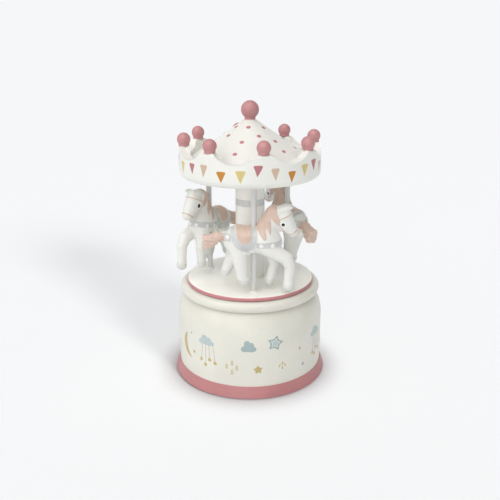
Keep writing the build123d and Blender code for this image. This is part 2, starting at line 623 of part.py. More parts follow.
def horses():
    """Three of one casting, each threaded on its pole and heading round with the turntable."""
    casting = None
    for limb in HORSE_LIMBS.values():
        casting = chain(limb) if casting is None else casting + chain(limb)
    casting = Pos(0, 0, -HORSE_PIVOT) * casting
    for i, ((x, y), (outward, lift, nose_up)) in enumerate(zip(pole_places(), HORSE_STANCES)):
        heading = POLE_START + i * 360 / HORSES - outward
        horse = Pos(0, 0, HORSE_PIVOT + lift) * Rot(0, -nose_up, 0) * casting
        horse -= rod(POLE_R + FIXED_FIT, 0, 100)
        keep(f"horse_{i + 1}", Pos(x, y, FLOOR_Z) * Rot(0, 0, heading) * horse)


def canopy():
    """The roof: a round plate with a scalloped rim, and a cone inside the rim."""
    soft = 1.8
    inner_r = CANOPY_R - RIM_WALL
    diagonal = 1 - sqrt(0.5)
    corner = CANOPY_EDGE_R * diagonal
    neck_z = CONE_APEX_Z - CONE_SLOPE * FINIAL_NECK_R
    outline = ThreePointArc(
        (CANOPY_R - CANOPY_EDGE_R, CANOPY_Z),
        (CANOPY_R - corner, CANOPY_Z + corner),
        (CANOPY_R, CANOPY_Z + CANOPY_EDGE_R),
    )
    outline += Line((CANOPY_R, CANOPY_Z + CANOPY_EDGE_R), (CANOPY_R, RIM_PEAK_Z - soft))
    outline += ThreePointArc(
        (CANOPY_R, RIM_PEAK_Z - soft),
        (CANOPY_R - soft * diagonal, RIM_PEAK_Z - soft * diagonal),
        (CANOPY_R - soft, RIM_PEAK_Z),
    )
    outline += Line((CANOPY_R - soft, RIM_PEAK_Z), (inner_r + soft, RIM_PEAK_Z))
    outline += ThreePointArc(
        (inner_r + soft, RIM_PEAK_Z),
        (inner_r + soft * diagonal, RIM_PEAK_Z - soft * diagonal),
        (inner_r, RIM_PEAK_Z - soft),
    )
    outline += Polyline(
        (inner_r, RIM_PEAK_Z - soft),
        (inner_r, CONE_APEX_Z - CONE_SLOPE * inner_r),
        (FINIAL_NECK_R, neck_z),
        (0, neck_z),
        (0, CANOPY_Z),
        (CANOPY_R - CANOPY_EDGE_R, CANOPY_Z),
    )
    roof = turned(Plane.XZ * outline)
    # Each scallop is a round notch cut between two balls.
    chord = 2 * pi * CANOPY_R / RIM_BALLS - RIM_PEAK_WIDTH
    drop = RIM_PEAK_Z - RIM_VALLEY_Z
    notch_r = ((chord / 2) ** 2 + drop**2) / (2 * drop)
    notch = Pos(0, -(inner_r + CANOPY_R) / 2, RIM_VALLEY_Z + notch_r) * Rot(90, 0, 0) * Cylinder(notch_r, RIM_WALL + 2)
    for i in range(RIM_BALLS):
        roof -= Rot(0, 0, RIM_BALL_START + (i + 0.5) * 360 / RIM_BALLS) * notch
    for x, y in rim_ball_places():
        roof -= rod(PEG_R + FIXED_FIT, RIM_PEAK_Z - PEG_LENGTH, RIM_PEAK_Z + 1, x, y)
    roof -= rod(FINIAL_PEG_R + FIXED_FIT, neck_z - PEG_LENGTH, neck_z + 1)
    roof -= rod(COLUMN_R + FIXED_FIT, 0, CANOPY_Z + CANOPY_SOCKET)
    for x, y in pole_places():
        roof -= rod(POLE_R + FIXED_FIT, 0, CANOPY_Z + CANOPY_SOCKET, x, y)
    keep("canopy", roof)
    finial = Pos(0, 0, FINIAL_Z) * Sphere(FINIAL_R) + rod(FINIAL_NECK_R, neck_z, FINIAL_Z - 2)
    keep("finial_ball", finial + rod(FINIAL_PEG_R, neck_z - PEG_LENGTH, FINIAL_Z))


def rim_ball_places():
    return [around(RIM_BALL_RING_R, RIM_BALL_START + i * 360 / RIM_BALLS) for i in range(RIM_BALLS)]


def rim_balls():
    balls = []
    for x, y in rim_ball_places():
        ball = Pos(x, y, RIM_BALL_Z) * Sphere(RIM_BALL_R) + rod(RIM_BALL_NECK_R, RIM_PEAK_Z, RIM_BALL_Z, x, y)
        ball -= rod(2 * RIM_BALL_R, 0, RIM_PEAK_Z, x, y)
        balls.append(ball + rod(PEG_R, RIM_PEAK_Z - PEG_LENGTH, RIM_BALL_Z, x, y))
    keep("rim_balls", *balls)


# ---- build ------------------------------------------------------------------------------------------------
foot_ring()
anti_slip_pads()
base_housing()
bottom_cover()
base_screws()
turntable_bearing()
movement_bed()
bearing_plates()
barrel_bridge()
spring_drive()
mainspring()
winding()
click()
melody()
gear_train()
governor()
drive_shaft()
turntable()
column_and_poles()
horses()
canopy()
rim_balls()

os.makedirs("parts", exist_ok=True)
for name, solid in PARTS.items():
    export_step(solid, f"parts/{name}.step")
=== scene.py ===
import json
import math

import bmesh
import bpy
import numpy as np
from mathutils import Matrix, Vector
from mathutils.geometry import delaunay_2d_cdt


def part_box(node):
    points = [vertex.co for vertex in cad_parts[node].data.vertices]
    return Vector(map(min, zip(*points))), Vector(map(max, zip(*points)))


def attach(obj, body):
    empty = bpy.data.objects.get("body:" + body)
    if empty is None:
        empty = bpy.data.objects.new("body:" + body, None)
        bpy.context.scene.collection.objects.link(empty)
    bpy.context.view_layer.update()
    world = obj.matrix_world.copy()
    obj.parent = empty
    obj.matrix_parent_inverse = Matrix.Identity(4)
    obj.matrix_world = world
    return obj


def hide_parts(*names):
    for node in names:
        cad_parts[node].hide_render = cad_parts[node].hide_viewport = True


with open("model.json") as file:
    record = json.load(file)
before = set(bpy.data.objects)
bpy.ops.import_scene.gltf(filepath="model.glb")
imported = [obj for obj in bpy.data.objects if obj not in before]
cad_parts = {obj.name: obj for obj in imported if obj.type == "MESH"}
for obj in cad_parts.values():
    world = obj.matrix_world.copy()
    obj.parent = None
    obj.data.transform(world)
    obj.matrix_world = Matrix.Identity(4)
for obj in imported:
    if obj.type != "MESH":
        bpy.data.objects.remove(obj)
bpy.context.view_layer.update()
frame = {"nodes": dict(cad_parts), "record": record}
nodes = frame["nodes"]
MM = 0.001


# ---- where the CAD says things are, in millimetres ----------------------------------------------------------
def span(node):
    low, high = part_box(node)
    return np.array(low) / MM, np.array(high) / MM


def centre(node):
    low, high = span(node)
    return (low + high) / 2


FLOOR_Z = span("turntable")[1][2]
TURNTABLE_LOW = span("turntable")[0][2]
WALL_R = span("base_housing")[1][0]
RIM_R = span("canopy")[1][0]
CONE_APEX_Z, CONE_SLOPE = 177.5, 0.68
POLES = [centre(f"pole_{i}")[:2] for i in (1, 2, 3)]
POLE_START = math.degrees(math.atan2(POLES[0][0], -POLES[0][1]))
PIVOT = 36.0  # height of a horse's middle on its pole
STANCES = ((3.5, 0.0, 0.0), (2.3, 1.5, 11.0), (9.3, 0.3, 8.0))  # turned out, fixed higher, nose up


# ---- materials ----------------------------------------------------------------------------------------------
class Shader:
    """A material under construction: nodes are added by type, and linked as they are made."""

    def __init__(self, name, colour, roughness, metallic=0.0, coat=0.0, coat_roughness=0.1, specular=0.5):
        self.material = bpy.data.materials.new(name)
        self.material.use_nodes = True
        self.tree = self.material.node_tree
        self.bsdf = next(n for n in self.tree.nodes if n.type == "BSDF_PRINCIPLED")
        self.set("Base Color", (*colour, 1))
        self.set("Roughness", roughness)
        self.set("Metallic", metallic)
        self.set("Coat Weight", coat)
        self.set("Coat Roughness", coat_roughness)
        self.set("Specular IOR Level", specular)
        self.height = None

    def set(self, socket, value):
        self.bsdf.inputs[socket].default_value = value

    def link(self, source, target):
        self.tree.links.new(source, target)

    def node(self, kind, inputs=None, **settings):
        made = self.tree.nodes.new(kind)
        for key, value in settings.items():
            setattr(made, key, value)
        for key, value in (inputs or {}).items():
            if isinstance(value, bpy.types.NodeSocket):
                self.link(value, made.inputs[key])
            else:
                made.inputs[key].default_value = value
        return made

    def place(self):
        return self.node("ShaderNodeTexCoord").outputs["Object"]

    def math(self, operation, *values, clamp=False):
        made = self.node("ShaderNodeMath", operation=operation, use_clamp=clamp)
        for i, value in enumerate(values):
            if isinstance(value, bpy.types.NodeSocket):
                self.link(value, made.inputs[i])
            else:
                made.inputs[i].default_value = value
        return made.outputs[0]

    def stretched(self, scale, vector=None):
        return self.node("ShaderNodeVectorMath", {0: vector or self.place(), 1: scale}, operation="MULTIPLY").outputs[0]

    def noise(self, scale, detail=3.0, roughness=0.5, vector=None, distortion=0.0):
        return self.node(
            "ShaderNodeTexNoise",
            {
                "Vector": vector or self.place(),
                "Scale": scale,
                "Detail": detail,
                "Roughness": roughness,
                "Distortion": distortion,
            },
        ).outputs["Fac"]

    def between(self, value, low, high, out_low=0.0, out_high=1.0):
        """value from low to high, spread from out_low to out_high and held at the ends."""
        made = self.node(
            "ShaderNodeMapRange",
            {"Value": value, "From Min": low, "From Max": high, "To Min": out_low, "To Max": out_high},
        )
        return made.outputs["Result"]

    def mix(self, factor, first, second, blend="MIX"):
        made = self.node("ShaderNodeMix", data_type="RGBA", blend_type=blend)
        sockets = [s for s in made.inputs if s.type == "RGBA"]
        values = zip([made.inputs[0], *sockets], [factor, first, second])
        for socket, value in values:
            if isinstance(value, bpy.types.NodeSocket):
                self.link(value, socket)
            elif isinstance(value, tuple):
                socket.default_value = (*value, 1)
            else:
                socket.default_value = value
        return next(s for s in made.outputs if s.type == "RGBA")

    def raise_by(self, height, metres):
        """Adds a bump of that depth."""
        made = self.node("ShaderNodeBump", {"Height": height, "Distance": metres, "Strength": 1.0})
        if self.height is not None:
            self.link(self.height, made.inputs["Normal"])
        self.height = made.outputs["Normal"]

    def turned(self):
        """Coordinates of a turned piece: distance from the axis, height, and a little of the angle."""
        x, y, z = self.node("ShaderNodeSeparateXYZ", {0: self.place()}).outputs
        squares = [self.math("MULTIPLY", part, part) for part in (x, y)]
        radius = self.math("SQRT", self.math("ADD", *squares))
        angle = self.math("MULTIPLY", self.math("ARCTAN2", y, x), 0.004)
        return self.node("ShaderNodeCombineXYZ", {0: radius, 1: angle, 2: z}).outputs[0]

    def done(self, colour=None, roughness=None):
        if colour is not None:
            self.link(colour, self.bsdf.inputs["Base Color"])
        if roughness is not None:
            self.link(roughness, self.bsdf.inputs["Roughness"])
        if self.height is not None:
            self.link(self.height, self.bsdf.inputs["Normal"])
        return self.material


def scaled(colour, factor):
    return tuple(min(1.0, c * factor) for c in colour)


def paint(name, colour, roughness=0.36, coat=0.25, grain=True, mottle=0.045, peel=0.00003):
    """Brushed-on satin paint over turned wood: a faint mottle, rings from the lathe and an eggshell surface."""
    m = Shader(name, colour, roughness, coat=coat, coat_roughness=0.22)
    big = m.noise(38, 4, 0.55)
    fine = m.noise(620, 3, 0.6)
    shade = m.mix(m.between(big, 0.35, 0.65), scaled(colour, 1 - mottle), scaled(colour, 1 + mottle * 0.6))
    shade = m.mix(m.between(fine, 0.3, 0.7, 0, 0.35), shade, scaled(colour, 1 - 1.6 * mottle))
    m.raise_by(fine, peel)
    m.raise_by(m.noise(160, 2, 0.5), 0.00005)
    if grain:
        rings = m.noise(900, 2, 0.6, m.turned())
        m.raise_by(rings, 0.000035)
    return m, shade, m.between(m.noise(120, 3), 0.3, 0.7, roughness - 0.05, roughness + 0.08)


CREAM = (0.85, 0.85, 0.803)
# A darker copy of the cream paint for the housing: painted shade, toning down the light on the base's wall.
SHADED_HOUSING_CREAM = (0.755, 0.746, 0.672)
ROSE = (0.545, 0.252, 0.258)
# A darker copy of the rose paint for the foot ring: painted shade, toning down the light that falls on it.
SHADED_FOOT_ROSE = (0.495, 0.207, 0.213)
EDGE_ROSE = (0.50, 0.198, 0.212)
# Lighter copies of the cream paint for the turntable and column: painted light, making up for the canopy's shade.
LIT_TURNTABLE_CREAM = (0.93, 0.925, 0.865)
LIT_COLUMN_CREAM = (0.91, 0.90, 0.855)
BAND_GREY = (0.655, 0.665, 0.66)
POLE_GREY = (0.68, 0.685, 0.675)
PEACH = (0.70, 0.527, 0.44)
HORSE_WHITE = (0.81, 0.81, 0.775)
HORSE_SILVER = (0.60, 0.615, 0.61)


def cream_paint(name="cream_paint", colour=CREAM):
    m, shade, rough = paint(name, colour)
    return m.done(shade, rough)


def rose_paint(name="rose_paint", colour=ROSE):
    m, shade, rough = paint(name, colour, roughness=0.42, coat=0.12, mottle=0.07)
    streak = m.noise(70, 3, 0.6, m.stretched((1.0, 1.0, 9.0)))
    shade = m.mix(m.between(streak, 0.45, 0.75, 0, 0.30), shade, scaled(colour, 1.25))
    return m.done(shade, rough)


def banded(name, base, band, low, high, **more):
    """Paint with a band of another colour between two heights, in metres."""
    m, shade, rough = paint(name, base, **more)
    height = m.node("ShaderNodeSeparateXYZ", {0: m.place()}).outputs[2]
    wander = m.between(m.noise(90, 3), 0, 1, -0.00018, 0.00018)
    height = m.math("ADD", height, wander)
    edge = 0.00006
    above, below = m.between(height, low - edge, low + edge), m.between(height, high - edge, high + edge, 1, 0)
    inside = m.math("MULTIPLY", above, below)
    tint = m.noise(300, 3)
    colour = m.mix(m.between(tint, 0.3, 0.7), scaled(band, 0.93), scaled(band, 1.06))
    return m.done(m.mix(inside, shade, colour), rough)


def metal(name, colour, roughness, scratch=0.25):
    m = Shader(name, colour, roughness, metallic=1.0)
    lines = m.noise(1, 4, 0.6, m.stretched((60.0, 900.0, 900.0)))
    stains = m.noise(220, 4, 0.6)
    shade = m.mix(m.between(stains, 0.4, 0.75), colour, scaled(colour, 0.8))
    m.raise_by(lines, 0.00002)
    return m.done(shade, m.between(lines, 0.3, 0.7, roughness - 0.08, roughness + scratch * 0.5))


def rubber():
    m = Shader("pad_rubber", (0.045, 0.045, 0.047), 0.75)
    pores = m.noise(1500, 3, 0.7)
    m.raise_by(pores, 0.00006)
    shade = m.mix(m.noise(200, 3), (0.035, 0.035, 0.037), (0.07, 0.07, 0.07))
    return m.done(shade, m.between(pores, 0.3, 0.7, 0.65, 0.85))


def board():
    m = Shader("base_board", (0.46, 0.33, 0.21), 0.7)
    fibres = m.noise(1, 5, 0.7, m.stretched((260.0, 1400.0, 700.0)))
    flecks = m.noise(1300, 3, 0.6)
    shade = m.mix(m.between(fibres, 0.3, 0.7), (0.36, 0.25, 0.155), (0.58, 0.43, 0.29))
    shade = m.mix(m.between(flecks, 0.55, 0.75, 0, 0.6), shade, (0.23, 0.15, 0.09))
    m.raise_by(flecks, 0.00008)
    return m.done(shade, m.between(fibres, 0.3, 0.7, 0.6, 0.8))


def nylon():
    m = Shader("nylon", (0.74, 0.72, 0.66), 0.45)
    fine = m.noise(500, 3)
    m.raise_by(fine, 0.00003)
    return m.done(m.mix(fine, (0.70, 0.68, 0.62), (0.78, 0.76, 0.71)), m.between(fine, 0.3, 0.7, 0.38, 0.5))


MATERIALS = {
    "cream_paint": cream_paint(),
    "rose_paint": rose_paint(),
    "pad_rubber": rubber(),
    "base_board": board(),
    "steel": metal("steel", (0.56, 0.56, 0.57), 0.34),
    "comb_steel": metal("comb_steel", (0.50, 0.51, 0.53), 0.28),
    "spring_steel": metal("spring_steel", (0.22, 0.24, 0.30), 0.30),
    "nickel_plate": metal("nickel_plate", (0.66, 0.64, 0.60), 0.22),
    "brass": metal("brass", (0.72, 0.53, 0.24), 0.30),
    "nylon": nylon(),
}


def pole_paint():
    m, shade, rough = paint("pole_paint", POLE_GREY, roughness=0.34, grain=False)
    return m.done(shade, rough)


EDGE_BAND = (TURNTABLE_LOW * MM - 0.001, (TURNTABLE_LOW + 2.05) * MM)  # up to just under the turntable's top
COLUMN_BAND = (0.1188, 0.1234)
MATERIALS["pole_paint"] = pole_paint()
# The turntable and column take the lighter cream copies: painted light under the canopy.
MATERIALS["turntable"] = banded("turntable_paint", LIT_TURNTABLE_CREAM, EDGE_ROSE, *EDGE_BAND)
MATERIALS["column"] = banded("column_paint", LIT_COLUMN_CREAM, BAND_GREY, *COLUMN_BAND, mottle=0.03)
# The housing and foot take the darker copies: painted shade.
MATERIALS["housing"] = cream_paint("housing_paint", SHADED_HOUSING_CREAM)
MATERIALS["foot"] = rose_paint("foot_paint", SHADED_FOOT_ROSE)
# The pieces whose paint differs from what their material slot says.
SPECIAL = {
    "turntable": "turntable",
    "centre_column": "column",
    "pole_collars": "column",
    "base_housing": "housing",
    "foot_ring": "foot",
}


def dress_the_cad():
    slots = {}
    for row in frame["record"].get("materials", []):
        for name in row.get("nodes", []):
            slots[name] = row["slot"]
    for name, node in nodes.items():
        first = node.material_slots[0].material if node.material_slots else None
        own = first.name.split(".")[0] if first else ""
        key = SPECIAL.get(name) or slots.get(name) or own
        if key not in MATERIALS:
            key = "cream_paint"
        node.data.materials.clear()
        node.data.materials.append(MATERIALS[key])


# ---- the horses: one casting, sculpted as a distance field in millimetres ---------------------------------
# u is ahead of the pole, v to the horse's left and w up from the turntable. A limb is a chain of (u, v, w, radius).
BARREL = [(-9.5, 0, 35.3, 8.7), (5, 0, 35.0, 8.4)]
RUMP = [(-11.2, 0, 35.4, 8.1), (-9, 0, 34.5, 8.0)]
CHEST = [(8.0, 0, 35.0, 8.0), (10.4, 0, 33.6, 7.4)]
NECK = [(7.8, 0, 38.5, 8.0), (9.0, 0, 45.0, 6.1), (12.6, 0, 50.4, 5.8)]
HEAD = [(18.6, 0, 50.7, 5.5), (21.2, 0, 45.3, 5.0), (24.1, 0, 40.7, 3.8)]
CHEEK = [(16.4, 0, 48.6, 5.0), (18.4, 0, 45.2, 4.4)]
FORELOCK = [(12.9, 0, 53.0, 4.1), (19.4, 0, 53.9, 3.7)]
EAR = [(15.0, 3.3, 54.0, 2.3), (19.8, 3.4, 56.2, 1.75), (23.4, 3.3, 56.8, 0.8)]
# Each leg: its chain, where it is cut off, and the top of its hoof.
LEGS = [
    (
        [
            (9.0, -3.1, 30.5, 5.4),
            (15.2, -3.8, 27.0, 4.7),
            (20.4, -4.1, 24.2, 4.3),
            (22.9, -4.2, 18.6, 3.5),
            (22.3, -4.2, 11.4, 3.1),
            (22.1, -4.2, 5.4, 3.4),
        ],
        1.5,
        6.6,
    ),
    ([(10.8, 3.2, 29.5, 5.2), (13.2, 3.9, 18.4, 3.2), (12.0, 4.0, 13.0, 2.95), (10.3, 4.0, 6.2, 3.0)], 3.0, 7.6),
    (
        [
            (-9.8, -2.9, 31.0, 5.9),
            (-8.9, -3.9, 23.5, 4.9),
            (-7.8, -4.1, 17.0, 4.2),
            (-7.3, -4.1, 11.8, 3.7),
            (-6.0, -4.1, 9.4, 3.3),
        ],
        6.1,
        10.2,
    ),
    ([(-10.6, 3.1, 30.5, 5.8), (-14.6, 3.9, 21.0, 4.2), (-17.1, 4.1, 15.4, 3.3), (-18.1, 4.1, 12.6, 3.1)], 9.3, 14.2),
]
TAIL = [
    (-16.5, 40.6), (-19.6, 40.9), (-22.9, 40.1), (-27.2, 38.9), (-29.6, 38.5), (-32.1, 38.9), (-32.3, 34.2),
    (-32.0, 29.9), (-30.0, 29.3), (-25.6, 31.2), (-21.5, 34.4), (-17.6, 37.6),
]
MANE = [
    (-1.2, 46.0), (0.5, 49.8), (3.6, 54.5), (7.8, 58.6), (12.2, 60.5), (14.2, 60.0), (14.3, 53.4), (15.9, 49.9),
    (16.0, 47.7), (15.4, 45.6), (13.6, 47.2), (11.9, 48.8), (10.3, 51.2), (10.8, 44.6), (10.3, 39.6), (8.7, 42.4),
    (6.9, 46.0), (7.9, 39.0), (7.1, 36.5), (4.8, 39.0), (2.0, 43.4),
]
SADDLE = [
    (-11.7, 52), (-11.7, 43.5), (-11.1, 38.9), (-8.7, 35.6), (-5.5, 34.2), (-2.6, 35.5), (-1.5, 39.2), (-1.4, 44.0),
    (-1.4, 52),
]
BORDER = [
    (-14.6, 52), (-14.6, 42.4), (-14.2, 38.0), (-11.8, 33.4), (-8.0, 30.5), (-4.1, 29.8), (-0.4, 31.2), (1.6, 34.8),
    (1.8, 40.0), (1.8, 52),
]
STRAPS = [
    [(13.8, 48.9), (15.9, 49.7), (20.0, 51.4), (24.1, 52.8), (27.5, 54.0)],
    [(15.9, 49.5), (15.3, 46.8), (18.3, 42.8), (20.9, 39.0)],
    [(18.6, 38.0), (20.9, 38.9), (24.1, 40.1), (27.3, 42.1), (30.0, 43.6)],
]
STUDS = [(4.6, 33.3, 1.35), (11.9, 33.4, 1.35), (-16.8, 38.7, 1.25)]
KNOT = [(-5.4, 28.6, 1.2), (-3.3, 27.5, 1.35), (-1.3, 28.8, 1.1)]
EYE = (18.2, 46.5)
TALL_EYE_SHIFT, TALL_EYE_SIZE = (1.2, 0.9), (1.05, 1.35)


def blend(a, b, k):
    h = np.clip(0.5 + 0.5 * (b - a) / k, 0, 1)
    return b + (a - b) * h - k * h * (1 - h)


def limb(p, chain, flat=1.0):
    """Distance to a chain of balls of changing radius, flat times as wide as it is deep."""
    near = None
    for a, b in zip(chain[:-1], chain[1:]):
        base, along = np.array(a[:3]), np.array(b[:3]) - np.array(a[:3])
        q = p - base.astype(p.dtype)
        t = np.clip((q @ along.astype(p.dtype)) / (along @ along), 0, 1)
        q = q - t[:, None] * along.astype(p.dtype)
        q[:, 1] /= flat
        d = np.sqrt((q * q).sum(1)) - (a[3] + (b[3] - a[3]) * t)
        near = d if near is None else np.minimum(near, d)
    return near


def to_polygon(u, w, points):
    """Signed distance to a closed outline, negative inside."""
    points = np.array(points)
    best = np.full(u.shape, 1e9)
    inside = np.zeros(u.shape, bool)
    for (au, aw), (bu, bw) in zip(points, np.roll(points, -1, 0)):
        eu, ew = bu - au, bw - aw
        t = np.clip(((u - au) * eu + (w - aw) * ew) / (eu * eu + ew * ew), 0, 1)
        best = np.minimum(best, (u - au - t * eu) ** 2 + (w - aw - t * ew) ** 2)
        if aw != bw:
            inside ^= ((aw > w) != (bw > w)) & (u < eu * (w - aw) / (bw - aw) + au)
    return np.where(inside, -1, 1) * np.sqrt(best)


def to_line(u, w, points):
    best = np.full(u.shape, 1e9)
    for (au, aw), (bu, bw) in zip(points[:-1], points[1:]):
        eu, ew = bu - au, bw - aw
        t = np.clip(((u - au) * eu + (w - aw) * ew) / (eu * eu + ew * ew), 0, 1)
        best = np.minimum(best, (u - au - t * eu) ** 2 + (w - aw - t * ew) ** 2)
    return np.sqrt(best)


def rounded(points, turns=2, closed=True):
    """Cuts an outline's corners."""
    points = np.array(points, float)
    for _ in range(turns):
        ahead = np.roll(points, -1, 0) if closed else points[1:]
        here = points if closed else points[:-1]
        cut = np.stack([0.75 * here + 0.25 * ahead, 0.25 * here + 0.75 * ahead], 1).reshape(-1, 2)
        points = cut if closed else np.vstack([points[:1], cut, points[-1:]])
    return points


MANE, SADDLE, BORDER, TAIL = rounded(MANE, 1), rounded(SADDLE), rounded(BORDER), rounded(TAIL, 1)


def horse_field(p):
    d = limb(p, BARREL, 0.9)
    d = blend(d, limb(p, RUMP, 0.95), 2.5)
    d = blend(d, limb(p, CHEST, 0.95), 3.0)
    d = blend(d, limb(p, NECK, 0.88), 3.0)
    head = blend(limb(p, HEAD, 1.02), limb(p, CHEEK, 1.05), 2.0)
    head = blend(head, limb(p, FORELOCK, 1.15), 1.5)
    mirrored = p * np.array([1, 0, 1], p.dtype)
    mirrored[:, 1] = np.abs(p[:, 1])
    head = blend(head, limb(mirrored, EAR, 0.9), 0.8)
    d = blend(d, head, 2.2)
    for chain, bottom, _ in LEGS:
        leg = limb(p, chain)
        leg = -blend(-leg, -(bottom - p[:, 2]), 1.0)
        d = blend(d, leg, 2.2)
    across = np.abs(p[:, 1]) - np.interp(-p[:, 0], [16, 20, 26, 32], [1.6, 2.4, 3.4, 3.7])
    side, across = to_polygon(p[:, 0], p[:, 2], TAIL) + 2.1, across + 2.1
    tail = np.hypot(np.maximum(side, 0), np.maximum(across, 0)) + np.minimum(np.maximum(side, across), 0) - 2.1
    return blend(d, tail, 1.2)


def nets(field, low, step):
    """Surface nets: a mesh of quads round the inside of a sampled distance field."""
    inside = field < 0
    shape = tuple(n - 1 for n in field.shape)
    total, count = np.zeros((*shape, 3)), np.zeros(shape)
    corner = lambda a, i, j, k: a[i : i + shape[0], j : j + shape[1], k : k + shape[2]]
    for axis in range(3):
        for s, t in ((0, 0), (0, 1), (1, 0), (1, 1)):
            start = [s, t]
            start.insert(axis, 0)
            end = list(start)
            end[axis] = 1
            a, b = corner(field, *start), corner(field, *end)
            cross = (a < 0) != (b < 0)
            part = np.where(cross, a / np.where(cross, a - b, 1), 0)
            count += cross
            for c in range(3):
                total[..., c] += np.where(cross, part if c == axis else start[c], 0)
    used = count > 0
    number = np.full(shape, -1)
    number[used] = np.arange(used.sum())
    cells = np.argwhere(used)
    verts = low + step * (cells + total[used] / count[used][:, None])
    quads = []
    for axis in range(3):
        b, c = [a for a in range(3) if a != axis]
        first, second = [slice(1, -1)] * 3, [slice(1, -1)] * 3
        first[axis], second[axis] = slice(0, -1), slice(1, None)
        one, two = inside[tuple(first)], inside[tuple(second)]
        for going_out in (True, False):
            where = np.argwhere(one & ~two if going_out else ~one & two)
            where[:, b] += 1
            where[:, c] += 1
            ring = []
            for sb, sc in ((1, 1), (0, 1), (0, 0), (1, 0)):
                cell = where.copy()
                cell[:, b] -= sb
                cell[:, c] -= sc
                ring.append(number[tuple(cell.T)])
            quad = np.stack(ring, 1)
            flip = going_out == (axis != 1)
            quads.append(quad if flip else quad[:, ::-1])
    return verts, np.vstack(quads)


def slope(p, function, e=0.02):
    """The unit gradient of a distance."""
    out = np.empty_like(p)
    for i in range(3):
        step = np.zeros(3)
        step[i] = e
        out[:, i] = function(p + step) - function(p - step)
    return out / np.maximum(np.linalg.norm(out, axis=1, keepdims=True), 1e-9)


def within(distance, soft):
    t = np.clip(0.5 - distance / (2 * soft), 0, 1)
    return t * t * (3 - 2 * t)


def button(distance, radius):
    """A round button: 1 at its middle, down to 0 at its edge."""
    return np.sqrt(np.clip(1 - (np.maximum(distance + radius, 0) / radius) ** 2, 0, 1))


def hairs(u, w, v):
    """Combed strands, from -1 to 1, running down the mane."""
    s = u + 0.22 * (w - 45) + 0.25 * np.sin(0.55 * w + 0.4 * v)
    return np.sin(2 * np.pi * s / 1.3) + 0.35 * np.sin(2 * np.pi * s / 0.7 + 1.3)


def horse_paint(p):
    """Signed distances to the painted areas, and how far each part stands off the casting."""
    u, v, w = p.T
    side = np.abs(v)
    mane = np.where(w > 33, to_polygon(u, w, MANE), 9)
    saddle = to_polygon(u, w, SADDLE)
    border = to_polygon(u, w, BORDER)
    rim = np.abs(border) - 0.32
    inner = np.abs(saddle) - 0.28
    tail = np.where((u < -16) & (w > 28), np.maximum(u + 18.9 + 0.35 * (w - 37.6), to_polygon(u, w, TAIL) - 1.0), 9)
    straps = np.minimum.reduce([to_line(u, w, line) for line in STRAPS]) - 0.42
    top, bottom = 35.5 + 0.05 * np.maximum(u - 6, 0), 31.9 + 0.05 * np.maximum(u - 6, 0)
    band = np.maximum.reduce([w - top, bottom - w, 1.5 - u])
    breech = np.maximum.reduce([w - 40.6, 36.2 - w, u + 14.4, -u - 24])
    studs = np.minimum.reduce([np.hypot(u - a, w - b) - r for a, b, r in STUDS])
    studs = np.where(side > 2.6, studs, 9)
    chest = np.where(u > 13.5, np.hypot(side - 2.7, w - 33.9) - 1.3, 9)
    studs = np.minimum(studs, chest)
    knot = np.where(side > 3, np.minimum.reduce([np.hypot(u - a, w - b) - r for a, b, r in KNOT]), 9)
    eye = np.where(side > 2, np.hypot((u - EYE[0]), (w - EYE[1])), 9)
    hoof = np.full(u.shape, 9.0)
    line = np.full(u.shape, 9.0)
    for chain, low, high in LEGS:
        foot = np.array(chain[-1])
        near = (np.hypot(u - foot[0], v - foot[1]) < 5.4) & (np.sign(v) == np.sign(foot[1]))
        hoof = np.where(near, np.minimum(hoof, w - high), hoof)
        line = np.where(near, np.minimum(line, np.abs(w - high)), line)
    lift = 0.55 * within(mane, 0.32) + 0.16 * within(mane + 0.4, 0.4) * hairs(u, w, v)
    lift += 0.55 * within(saddle + 0.3, 0.3) + 0.35 * within(border, 0.3)
    lift += 0.22 * within(rim, 0.22) + 0.15 * within(inner, 0.2)
    lift += 0.32 * within(band, 0.25) + 0.16 * within(np.abs(band) - 0.1, 0.25)
    lift += 0.25 * within(breech, 0.25) + 0.1 * within(np.abs(breech) - 0.1, 0.25)
    lift += 0.55 * button(studs, 1.3) + 0.9 * button(knot, 1.2)
    lift += 0.12 * within(straps, 0.22)
    lift += 0.3 * button(eye - 1.7, 1.7)
    tail_wave = np.sin(2 * np.pi * (w + 0.35 * u + 0.9 * np.sin(0.35 * u)) / 2.3 + 0.5 * v)
    lift += within(tail, 0.3) * (0.14 + 0.24 * tail_wave)
    lift += 0.14 * within(hoof, 0.25) - 0.22 * within(line - 0.1, 0.25)
    mouth = to_line(u, w, np.array([(29.5, 38.9), (26.3, 38.6), (23.6, 38.0), (22.3, 38.4)]))
    lift -= 0.34 * within(mouth - 0.1, 0.35) * (w < 45)
    lift -= 0.35 * within(np.hypot(u - 26.3, w - 40.5) - 0.35, 0.5) * within(2.0 - side, 0.6)
    fold = to_line(u, w, np.array([(15.6, 52.0), (18.3, 54.0), (21.8, 54.4)]))
    lift -= 0.4 * within(fold - 0.15, 0.7) * within(2.5 - side, 0.8)
    lift += 0.10 * within(np.hypot(u - 19.9, w - 42.5) - 2.2, 1.2)
    cover = np.minimum(studs, knot)
    peach = np.minimum.reduce([mane, np.maximum(saddle, -inner), tail, straps])
    silver = np.minimum.reduce([np.maximum(border, -saddle), band, breech])
    return lift, {"peach": peach, "silver": silver, "white": cover, "hoof": hoof, "eye": eye}


